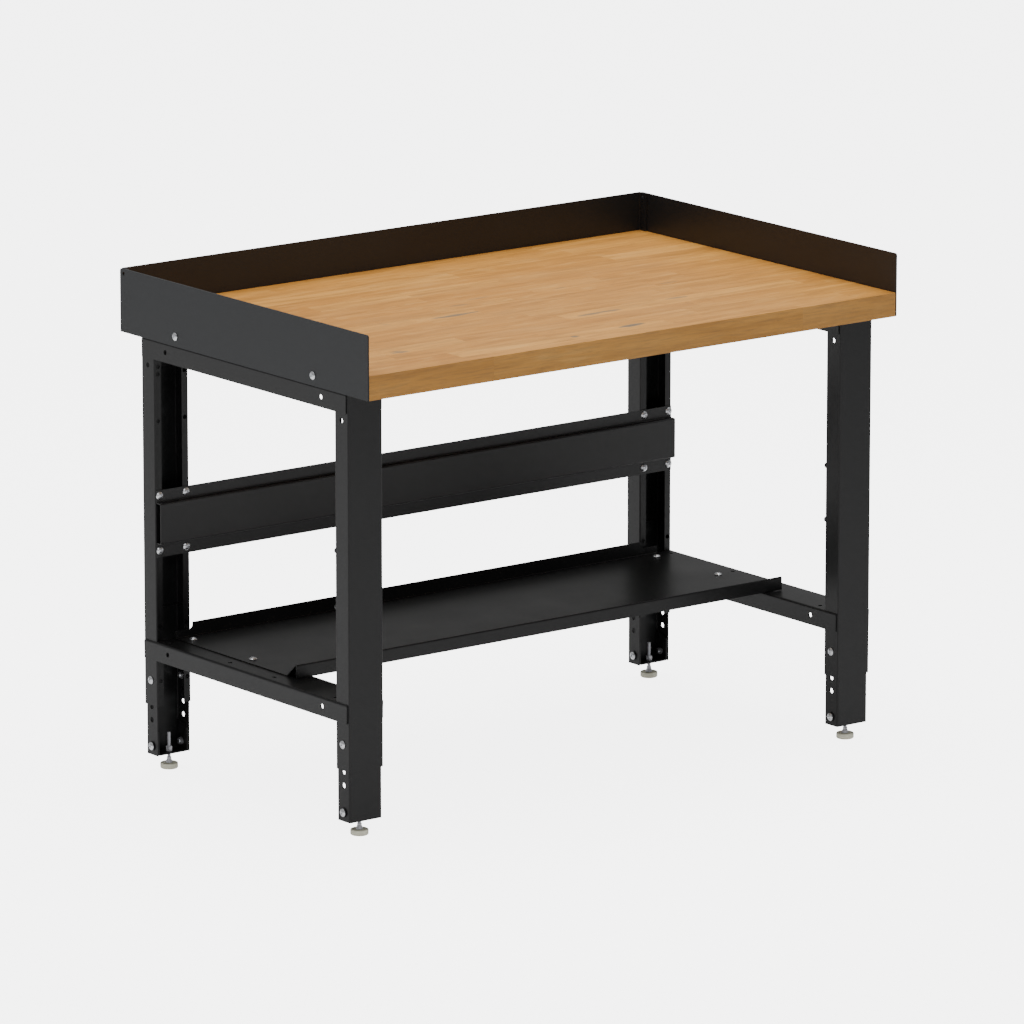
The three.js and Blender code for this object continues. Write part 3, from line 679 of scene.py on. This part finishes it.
def channel_mesh(side, top, sheet, notched):
    """Cross channel, open below. The lower one is notched round the legs and has two rows of holes."""
    half = LEG_WIDTH / 2 + GAP + sheet / 2
    corners = [(-half, -CHANNEL_HEIGHT), (-half, -sheet / 2), (half, -sheet / 2), (half, -CHANNEL_HEIGHT)]
    bm = bmesh.new()
    add_prism(bm, folded(corners, sheet, sheet), CHANNEL_LENGTH, "y",
              (side * LEG_X, CHANNEL_START + CHANNEL_LENGTH, top))
    rims = [e for e in bm.edges if abs(e.verts[0].co.y - e.verts[1].co.y) < 1e-4]
    bmesh.ops.bevel(bm, geom=rims, offset=0.45 * sheet, segments=3, affect="EDGES", profile=0.5)
    cutter = bmesh.new()
    for end in (-1, 1):
        add_bar(cutter, "x", SIDE_HOLE, LEG_WIDTH * 2,
                (side * LEG_X, CHANNEL_MIDDLE + end * CHANNEL_HOLE_OFFSET, top - CHANNEL_HOLE_DROP))
        if notched:
            inner = CHANNEL_MIDDLE + end * (CHANNEL_LENGTH / 2 + CHANNEL_INSET - LEG_DEPTH - GAP)
            outer = CHANNEL_MIDDLE + end * CHANNEL_LENGTH
            half_notch = LEG_WIDTH / 2 + GAP
            add_box(cutter, (side * LEG_X - half_notch, min(inner, outer), top - 2 * sheet),
                    (side * LEG_X + half_notch, max(inner, outer), top + 1))
            for offset in WEB_HOLES:
                for row in (-1, 1):
                    along = CHANNEL_MIDDLE + end * (offset + (WEB_STAGGER if row == side else 0))
                    add_bar(cutter, "z", BOLT_HOLE, 12, (side * LEG_X + row * WEB_ROW, along, top))
        else:
            for offset in TOP_FIXINGS:
                add_bar(cutter, "z", TOP_FIXING_HOLE, 12, (side * LEG_X, CHANNEL_MIDDLE + end * offset, top))
    return carve(mesh_from(bm), mesh_from(cutter))


for hand, side in HANDS:
    piece(f"{hand}_top_channel", channel_mesh(side, UNDERSIDE - GAP, UPPER_SHEET, False),
          "bench_frame", black, [f"{hand}_upper_channel"])
    piece(f"{hand}_shelf_channel", channel_mesh(side, LOWER_TOP, LOWER_SHEET, True),
          "bench_frame", black, [f"{hand}_lower_channel"])

STRINGER_BACK = REAR_LIP - GAP - PAN_SHEET / 2
bolt_places = [(s * LEG_X + o, z) for s in (-1, 1) for o in (-LIP_HOLE_X, LIP_HOLE_X)
               for z in STRINGER_BOLT_Z]


def stringer_mesh():
    """Hat section with a flange above and below its box."""
    back, front = STRINGER_BACK, STRINGER_BACK - STRINGER_DEPTH
    (low, high), (box_low, box_high) = STRINGER_FLANGES, STRINGER_BOX
    corners = [(back, low), (back, box_low), (front, box_low),
               (front, box_high), (back, box_high), (back, high)]
    bm = bmesh.new()
    add_prism(bm, folded(corners, PAN_SHEET, PAN_BEND), 2 * STRINGER_HALF, "x", (-STRINGER_HALF, 0, 0))
    cutter = bmesh.new()
    for x, z in bolt_places:
        add_bar(cutter, "y", BOLT_HOLE, 10, (x, back, z))
    return carve(mesh_from(bm), mesh_from(cutter))


piece("rear_stringer", stringer_mesh(), "bench_frame", black_stringer_painted_lighter, ["stringer"])

shelf_places = [(s * (LEG_X - WEB_ROW), CHANNEL_MIDDLE + o) for s in (-1, 1) for o in WEB_HOLES]


def shelf_mesh():
    """Pan with a notched rear upstand and a raised, folded front edge."""
    bottom = SHELF_TOP - PAN_SHEET
    middle, high = bottom + PAN_SHEET / 2, bottom + SHELF_UPSTAND
    rear, ridge = SHELF_REAR - PAN_SHEET / 2, SHELF_RIDGE
    corners = [(ridge, bottom + 0.4), (ridge, high), (SHELF_RISE, middle), (rear, middle), (rear, high)]
    bm = bmesh.new()
    add_prism(bm, folded(corners, PAN_SHEET, PAN_BEND), 2 * SHELF_HALF, "x", (-SHELF_HALF, 0, 0))
    cutter = bmesh.new()
    low, inner, r = high - SHELF_NOTCH_HEIGHT, SHELF_HALF - SHELF_NOTCH_WIDTH, SHELF_NOTCH_RADIUS
    for side in (-1, 1):
        notch = [(inner, low + 25), *arc(inner + r, low + r, r, 180, 270),
                 (SHELF_HALF + 2, low), (SHELF_HALF + 2, low + 25)]
        notch = [(side * q[0], q[1]) for q in notch]
        add_prism(cutter, notch, 20, "y", (0, rear + 10, 0))
    for x, y in shelf_places:
        add_bar(cutter, "z", BOLT_HOLE, 10, (x, y, middle))
    return carve(mesh_from(bm), mesh_from(cutter))


piece("shelf_pan", shelf_mesh(), "bench_frame", black, ["lower_shelf"])


# ---------------------------------------------------------------- fasteners

def truss_head():
    """Dome head with a cross recess. The underside is at z = 0."""
    radius, height, steps = HEAD_RADIUS, HEAD_HEIGHT, 9
    sphere = (radius ** 2 + (height - HEAD_RIM) ** 2) / (2 * (height - HEAD_RIM))
    profile = [(0, 0), (radius - 0.3, 0), (radius, 0.3), (radius, HEAD_RIM)]
    start = math.asin(radius / sphere)
    for i in range(1, steps + 1):
        a = start * (1 - i / steps)
        profile.append((sphere * math.sin(a), height - sphere * (1 - math.cos(a))))
    bm = bmesh.new()
    add_turned(bm, profile, 40)
    recess = bmesh.new()
    top, low = (4.3, 1.15), (2.0, 0.6)
    for turn in (0, 90):
        rot = Matrix.Rotation(math.radians(turn), 4, "Z")
        verts = []
        for (hx, hy), z in ((low, height - 2.9), (top, height + 0.2)):
            for sx, sy in ((-1, -1), (1, -1), (1, 1), (-1, 1)):
                verts.append(recess.verts.new(rot @ Vector((sx * hx, sy * hy, z))))
        recess.faces.new(list(reversed(verts[:4])))
        recess.faces.new(verts[4:])
        for i in range(4):
            j = (i + 1) % 4
            recess.faces.new((verts[i], verts[j], verts[4 + j], verts[4 + i]))
    return carve(mesh_from(bm), mesh_from(recess), crossing=True)


HEAD = truss_head()


def shank(radius, start, end, thread_from, pitch=1.4):
    """A shank along -Z from z = -start to z = -end, with thread rings past thread_from."""
    profile = [(0, -start), (radius, -start), (radius, -thread_from)]
    z = thread_from
    while z + pitch < end - 0.6:
        profile += [(radius - 0.55, -(z + pitch / 2)), (radius, -(z + pitch))]
        z += pitch
    profile += [(radius - 0.8, -end), (0, -end)]
    bm = bmesh.new()
    add_turned(bm, profile, 24)
    return mesh_from(bm)


def hex_nut(flat, height, z, bore=0.0):
    """A hexagon nut with chamfered corners, from z to z + height."""
    r = flat / math.sqrt(3)
    bm = bmesh.new()
    hexagon = [(r * math.cos(math.pi / 3 * i), r * math.sin(math.pi / 3 * i)) for i in range(6)]
    add_prism(bm, hexagon, height, "z", (0, 0, z))
    disc = bmesh.new()
    c = flat / 2
    add_turned(disc, [(0, z), (c * 0.97, z), (r * 1.02, z + 0.9), (r * 1.02, z + height - 0.9),
                      (c * 0.97, z + height), (0, z + height)], 48)
    nut = carve(mesh_from(bm), mesh_from(disc), "INTERSECT")
    if bore:
        drill = bmesh.new()
        add_bar(drill, "z", bore, height * 3, (0, 0, z + height / 2))
        nut = carve(nut, mesh_from(drill))
    return nut


def placed(direction, position, turn=0.0):
    """Matrix that turns +Z to a direction and moves to a position, in millimetres."""
    q = Vector((0, 0, 1)).rotation_difference(Vector(direction))
    own = Matrix.Rotation(math.radians(turn), 4, "Z")
    return Matrix.Translation(Vector(position)) @ q.to_matrix().to_4x4() @ own


def through_bolt(grip, nut_turn=0):
    """Head, shank and nut: grip is what the bolt holds, measured from under the head."""
    rod = shank(SHANK_RADIUS, 0.0, grip + NUT_HEIGHT + 3.0, max(0.5, grip - 1))
    nut = hex_nut(NUT_FLATS, NUT_HEIGHT, -grip - NUT_HEIGHT - 0.2)
    nut.transform(Matrix.Rotation(math.radians(nut_turn), 4, "Z"))
    return soften(joined([HEAD.copy(), rod, nut]))


def spacer_mesh(length, radius):
    """The black collar under the head of a bracket bolt, with rounded rims."""
    bm = bmesh.new()
    add_turned(bm, [(0, -length), (radius - 0.4, -length), (radius, 0.4 - length), (radius, -0.5),
                    (radius - 0.3, -0.1), (0, -0.1)], 40)
    return soften(mesh_from(bm))


HEIGHT_GRIP = GAP + (LEG_WIDTH - EXT_WIDTH) / 2 + EXT_SHEET + 0.3
BRACKET_GRIP = COLLAR + GAP + EXT_SHEET + GAP + BRACKET_SHEET + 0.3
height_bolt = through_bolt(HEIGHT_GRIP)
bracket_bolt = soften(joined([HEAD.copy(), shank(SHANK_RADIUS, 0.0, BRACKET_GRIP + 8.0, BRACKET_GRIP - 1)]))
bracket_nut = soften(hex_nut(NUT_FLATS, NUT_HEIGHT, -BRACKET_GRIP - NUT_HEIGHT - 0.2))
spacer = spacer_mesh(COLLAR, COLLAR_RADIUS)
stringer_bolt = through_bolt(GAP + PAN_SHEET + GAP + LEG_SHEET + 0.2, nut_turn=30)
shelf_bolt = through_bolt(GAP + PAN_SHEET + GAP + LOWER_SHEET + 0.2)
wood_screw = soften(joined([HEAD.copy(), shank(2.4, 0.0, 22, 3.0, 1.8)]))


def spin():
    """How far a head is turned when it is tight, in degrees."""
    return rng.choice((0, 8, 20, 35, 50, 65, 80))


seat = REAR_LIP - 2 * GAP - PAN_SHEET
for i, (x, z) in enumerate(bolt_places):
    piece(f"stringer_fixing_{i + 1}", stringer_bolt, "bench_frame", zinc,
          [f"stringer_bolt_{i + 1}"],
          placed((0, -1, 0), (x, seat, z), rng.choice((0, 60, 120))))
for i, (x, y) in enumerate(shelf_places):
    piece(f"shelf_fixing_{i + 1}", shelf_bolt, "bench_frame", zinc, [f"shelf_bolt_{i + 1}"],
          placed((0, 0, 1), (x, y, LOWER_TOP + 2 * GAP + PAN_SHEET), spin()))
for hand, side in HANDS:
    for i, distance in enumerate(STOP_SCREWS):
        at = (side * (STOP_X + STOP_SHEET + GAP), FRONT + distance, STOP_SCREW_Z)
        piece(f"{hand}_stop_fixing_{i + 1}", wood_screw, "bench_frame", zinc,
              [f"{hand}_stop_screw_{i + 1}"], placed((side, 0, 0), at, spin()))
for hand, side in HANDS:
    for i, along in enumerate([end * offset for end in (-1, 1) for offset in TOP_FIXINGS]):
        at = (side * LEG_X, CHANNEL_MIDDLE + along, UNDERSIDE - GAP - UPPER_SHEET - 0.1)
        piece(f"{hand}_top_fixing_{i + 1}", wood_screw, "bench_frame", zinc, (),
              placed((0, 0, -1), at, spin()))
for i, side in enumerate((-1, 1)):
    piece(f"rear_stop_fixing_{i + 1}", wood_screw, "bench_frame", zinc,
          [f"back_stop_screw_{i + 1}"],
          placed((0, 1, 0), (side * BACK_SCREW_X, STOP_REAR + GAP, STOP_SCREW_Z), spin()))


# ---------------------------------------------------------------- legs

def upright_mesh():
    """C channel with return lips. Local y = 0 is its closed face, and it opens towards +Y."""
    inset = LEG_SHEET / 2
    edge, lip_end, lip_y = LEG_WIDTH / 2 - inset, LEG_WIDTH / 2 - LEG_LIP, LEG_DEPTH - inset
    half = [(lip_end, lip_y), (edge, lip_y), (edge, inset)]
    corners = [(-x, y) for x, y in half] + half[::-1]
    bm = bmesh.new()
    add_prism(bm, folded(corners, LEG_SHEET, LEG_SHEET), LEG_TOP - LEG_BOTTOM, "z", (0, 0, LEG_BOTTOM))
    cutter = bmesh.new()
    add_bar(cutter, "x", SIDE_HOLE, 2 * LEG_WIDTH, (0, LEG_DEPTH / 2, LEG_SIDE_HOLE))
    add_bar(cutter, "x", BOLT_HOLE, 2 * LEG_WIDTH, (0, LEG_DEPTH / 2, HEIGHT_BOLT_Z))
    for z in LIP_HOLES:
        for side in (-1, 1):
            add_bar(cutter, "y", BOLT_HOLE, 10, (side * LIP_HOLE_X, lip_y, z))
    return carve(mesh_from(bm), mesh_from(cutter))


def extension_mesh():
    """C channel that slides in the upright, with a row of holes in both sides."""
    edge, face = EXT_WIDTH / 2 - EXT_SHEET / 2, LEG_SHEET + SLIDE_GAP + EXT_SHEET / 2
    open_y = LEG_DEPTH - LEG_SHEET - SLIDE_GAP - EXT_SETBACK
    corners = [(-edge, open_y), (-edge, face), (edge, face), (edge, open_y)]
    bm = bmesh.new()
    add_prism(bm, folded(corners, EXT_SHEET, EXT_SHEET), EXT_TOP - EXT_BOTTOM, "z", (0, 0, EXT_BOTTOM))
    cutter = bmesh.new()
    add_bar(cutter, "x", BOLT_HOLE, 2 * LEG_WIDTH, (0, LEG_DEPTH / 2, BRACKET_BOLT_Z))
    for z in EXT_HOLES:
        add_bar(cutter, "x", EXT_HOLE, 2 * LEG_WIDTH, (0, LEG_DEPTH / 2, z), 32)
    return carve(mesh_from(bm), mesh_from(cutter))


def bracket_mesh():
    """U bracket whose side tabs rise towards the closed face of the leg."""
    edge = EXT_WIDTH / 2 - EXT_SHEET - GAP - BRACKET_SHEET / 2
    near = LEG_SHEET + SLIDE_GAP + EXT_SHEET + BRACKET_SETBACK
    far = near + BRACKET_DEPTH
    high, above = BRACKET_TOP - EXT_BOTTOM, BRACKET_TOP + 1
    corners = [(-edge, high), (-edge, BRACKET_SHEET / 2), (edge, BRACKET_SHEET / 2), (edge, high)]
    bm = bmesh.new()
    add_prism(bm, folded(corners, BRACKET_SHEET, BRACKET_SHEET), far - near, "y", (0, far, EXT_BOTTOM))
    cutter = bmesh.new()
    slope = [(near + 4, above), (near + 4, BRACKET_TOP), (far - 5, 76.4), (far + 1, 74.6), (far + 1, above)]
    add_prism(cutter, slope, 2 * LEG_WIDTH, "x", (-LEG_WIDTH, 0, 0))
    add_bar(cutter, "x", BOLT_HOLE, 2 * LEG_WIDTH, (0, LEG_DEPTH / 2, BRACKET_BOLT_Z))
    add_bar(cutter, "z", STEM_HOLE, 20, (0, FOOT_Y, EXT_BOTTOM))
    return carve(mesh_from(bm), mesh_from(cutter))


def stud_mesh():
    """Levelling stud: a pin in the pad, a base and a neck, then a helical thread, 20 turns to the inch."""
    bm = bmesh.new()
    add_turned(bm, [(0, 3.8), (3.0, 3.8), (STUD_RADIUS, 4.1), (STUD_RADIUS, 10.1), (5.8, 10.1), (6.4, 10.5),
                    (6.4, 13.2), (6.0, 13.9), (5.2, 15.6), (4.5, 17.2), (4.3, 18.1), (4.3, 21.3), (4.0, 21.6),
                    (0, 21.6)], 40)
    sides, per_turn, pitch, root, crest = 28, 6, STUD_PITCH, 2.75, STUD_RADIUS
    start, end = 21.2, STUD_TOP
    rings = int((end - start) / pitch * per_turn)
    grid = []
    for i in range(rings + 1):
        z = start + (end - start) * i / rings
        ring = []
        for k in range(sides):
            phase = (z / pitch - k / sides) % 1.0
            height = 1 - abs(2 * phase - 1)
            r = root + (crest - root) * min(1.0, height * 1.25)
            r = min(r, crest - max(0.0, z - (end - 1.0)) * 0.8)
            a = 2 * math.pi * k / sides
            ring.append(bm.verts.new((r * math.cos(a), r * math.sin(a), z)))
        grid.append(ring)
    for a, b in zip(grid, grid[1:]):
        for k in range(sides):
            j = (k + 1) % sides
            bm.faces.new((a[k], a[j], b[j], b[k]))
    bm.faces.new(list(reversed(grid[0])))
    bm.faces.new(grid[-1])
    return soften(mesh_from(bm), 40)


def pad_mesh():
    """Levelling pad with a rounded foot, a shallow recess on top and a socket for the stud's pin."""
    profile = [(0, 0), (12.4, 0)]
    for angle in range(10, 91, 16):
        a = math.radians(angle)
        profile.append((13.7 + 3.0 * math.sin(a), 3.0 - 3.0 * math.cos(a)))
    profile += [(16.7, 9.0), (16.5, 9.9), (16.0, 10.6), (15.2, 11.0), (13.9, 11.0), (13.4, 10.8), (12.9, 9.8),
                (3.6, 9.8), (3.6, 3.5), (0, 3.5)]
    bm = bmesh.new()
    add_turned(bm, profile, 56)
    return soften(mesh_from(bm), 50)


def insert_mesh():
    """Closed thread insert that stands on a lip's inner side."""
    bm = bmesh.new()
    add_turned(bm, [(0, 0), (INSERT_RADIUS, 0), (INSERT_RADIUS, 6.2), (5.0, 7.6), (4.1, 8.8), (2.6, 9.5),
                    (0, 9.7)], 32)
    return soften(mesh_from(bm), 50)


upright = upright_mesh()
extension = extension_mesh()
bracket = bracket_mesh()
weld_nut = soften(hex_nut(WELD_NUT_FLATS, WELD_NUT_HEIGHT, EXT_BOTTOM + BRACKET_SHEET, 3.45))
stud = stud_mesh()
pad = pad_mesh()
insert = insert_mesh()

for end, face, turn in (("front", FRONT_LEG, 0.0), ("rear", REAR_LEG, 180.0)):
    for hand, side in HANDS:
        name = f"{end}_{hand}"
        place = Matrix.Translation((side * LEG_X, face, 0)) @ Matrix.Rotation(math.radians(turn), 4, "Z")
        outward = side if turn == 0 else -side
        body = f"{name}_extension"
        piece(f"{name}_post", upright, "bench_frame", black, [f"{name}_upright"], place)
        piece(f"{name}_slide", extension, body, black, [f"{name}_leg_extension"], place)
        piece(f"{name}_bracket", bracket, body, black, [f"{name}_foot_bracket"], place)
        at_foot = place @ Matrix.Translation((0, FOOT_Y, 0))
        piece(f"{name}_weld_nut", weld_nut, body, zinc_dull, (), at_foot)
        piece(f"{name}_stud", stud, f"{name}_stud", zinc_dull, [f"{name}_foot_stud"], at_foot)
        piece(f"{name}_pad", pad, f"{name}_pad", pad_white, [f"{name}_foot_pad"], at_foot)
        for where, direction in (("outer", outward), ("inner", -outward)):
            seat = LEG_WIDTH / 2 + GAP
            local = placed((direction, 0, 0), (direction * seat, LEG_DEPTH / 2, HEIGHT_BOLT_Z), spin())
            piece(f"{name}_height_fixing_{where}", height_bolt, "bench_frame", zinc,
                  [f"{name}_height_bolt_{where}"], place @ local)
            seat = EXT_WIDTH / 2 + GAP + COLLAR
            local = placed((direction, 0, 0), (direction * seat, LEG_DEPTH / 2, BRACKET_BOLT_Z), spin())
            piece(f"{name}_bracket_fixing_{where}", bracket_bolt, body, zinc,
                  [f"{name}_bracket_bolt"] if where == "outer" else (), place @ local)
            piece(f"{name}_bracket_spacer_{where}", spacer, body, oxide, (), place @ local)
            piece(f"{name}_bracket_nut_{where}", bracket_nut, body, zinc_nuts_painted_shade, (), place @ local)
        if end == "front":
            for i, z in enumerate(STRINGER_BOLT_Z):
                for j, lip in enumerate((-1, 1)):
                    local = placed((0, 1, 0), (lip * LIP_HOLE_X, LEG_DEPTH + 0.05, z))
                    piece(f"{name}_insert_{i + 1}_{j + 1}", insert, "bench_frame", oxide, (),
                          place @ local)


# ---------------------------------------------------------------- floor, light, camera

def glowing(paint, strength):
    """Gives a paint a white glow, of a fixed strength or one from a node."""
    paint.b.inputs["Emission Color"].default_value = (1, 1, 1, 1)
    paint.put(paint.b.inputs["Emission Strength"], strength)


def floor_and_bounce():
    """The pale floor that the camera sees, and a weaker glowing sheet that only the bench sees."""
    floor_paint = Paint("studio_floor", (0.86, 0.86, 0.855), 0.7)
    grain = floor_paint.noise(floor_paint.position(), 3, 3)
    floor_paint.finish(floor_paint.mix(floor_paint.ramp(grain, 0.3, 0.7),
                                       (0.85, 0.85, 0.845), (0.88, 0.88, 0.878)))
    glowing(floor_paint, FLOOR_GLOW)
    bm = bmesh.new()
    bmesh.ops.create_grid(bm, x_segments=1, y_segments=1, size=FLOOR_HALF)
    mesh = bpy.data.meshes.new("floor")
    bm.to_mesh(mesh)
    bm.free()
    mesh.materials.append(floor_paint.m)
    floor = bpy.data.objects.new("floor", mesh)
    bpy.context.scene.collection.objects.link(floor)
    floor.visible_diffuse = floor.visible_glossy = floor.visible_shadow = False

    bounce_paint = Paint("floor_bounce", (0.8, 0.8, 0.8), 0.9)
    at = bounce_paint.position()
    grain = bounce_paint.ramp(bounce_paint.noise(at, 0.4, 2), 0.3, 0.7)
    bounce_paint.finish(bounce_paint.mix(grain, (0.78, 0.78, 0.78), (0.82, 0.82, 0.82)))
    place = bounce_paint.parts(at)
    across = bounce_paint.math("SUBTRACT", place[1], place[0])
    glowing(bounce_paint, bounce_paint.ramp(across, -BOUNCE_REACH, BOUNCE_REACH, *BOUNCE_GLOW))
    sheet = bpy.data.objects.new("floor_bounce", mesh.copy())
    sheet.data.materials[0] = bounce_paint.m
    sheet.location = (0, 0, -0.002)
    bpy.context.scene.collection.objects.link(sheet)
    sheet.visible_camera = sheet.visible_shadow = False


def studio_world():
    """A soft horizon, brighter behind the bench than in front, and a brighter patch overhead."""
    world = bpy.data.worlds.new("studio")
    world.use_nodes = True
    nodes, links = world.node_tree.nodes, world.node_tree.links

    def ramp(value, low, high, out_low, out_high):
        n = nodes.new("ShaderNodeMapRange")
        links.new(value, n.inputs["Value"])
        for key, v in (("From Min", low), ("From Max", high), ("To Min", out_low), ("To Max", out_high)):
            n.inputs[key].default_value = v
        return n.outputs[0]

    def combined(operation, a, b):
        n = nodes.new("ShaderNodeMath")
        n.operation = operation
        links.new(a, n.inputs[0])
        links.new(b, n.inputs[1])
        return n.outputs[0]

    split = nodes.new("ShaderNodeSeparateXYZ")
    links.new(nodes.new("ShaderNodeTexCoord").outputs["Generated"], split.inputs[0])
    towards_back, upward = split.outputs[1], split.outputs[2]
    low_sky, behind = ramp(upward, 0.05, 0.5, 0.34, 0.1), ramp(towards_back, -0.7, 0.7, 0.75, 1.6)
    strength = combined("ADD", combined("MULTIPLY", low_sky, behind), ramp(upward, 0.45, 0.9, 0.0, 0.6))
    nodes["Background"].inputs[0].default_value = (1, 1, 1, 1)
    links.new(strength, nodes["Background"].inputs[1])
    bpy.context.scene.world = world


def area_lamp(name, position, target, size, power):
    data = bpy.data.lights.new(name, "AREA")
    data.shape, data.size, data.energy = "SQUARE", size, power
    lamp = bpy.data.objects.new(name, data)
    lamp.location = position
    lamp.rotation_euler = (Vector(target) - Vector(position)).to_track_quat("-Z", "Y").to_euler()
    bpy.context.scene.collection.objects.link(lamp)


def camera():
    """A long lens from the front left, a little above the worktop."""
    data = bpy.data.cameras.new("camera")
    data.lens = CAMERA_LENS
    data.sensor_width = 36
    cam = bpy.data.objects.new("camera", data)
    cam.location = CAMERA_PLACE
    cam.rotation_euler = Euler((math.pi / 2 - CAMERA_DIP, 0, -CAMERA_TURN))
    bpy.context.scene.collection.objects.link(cam)
    bpy.context.scene.camera = cam


floor_and_bounce()
studio_world()
area_lamp("top", (0.2, 0.2, 4.2), (0, 0, 0.8), 2.5, 113)
area_lamp("glint", (-3.4, -5.2, 4.6), (0, 0, 0.5), 0.9, 45)
camera()
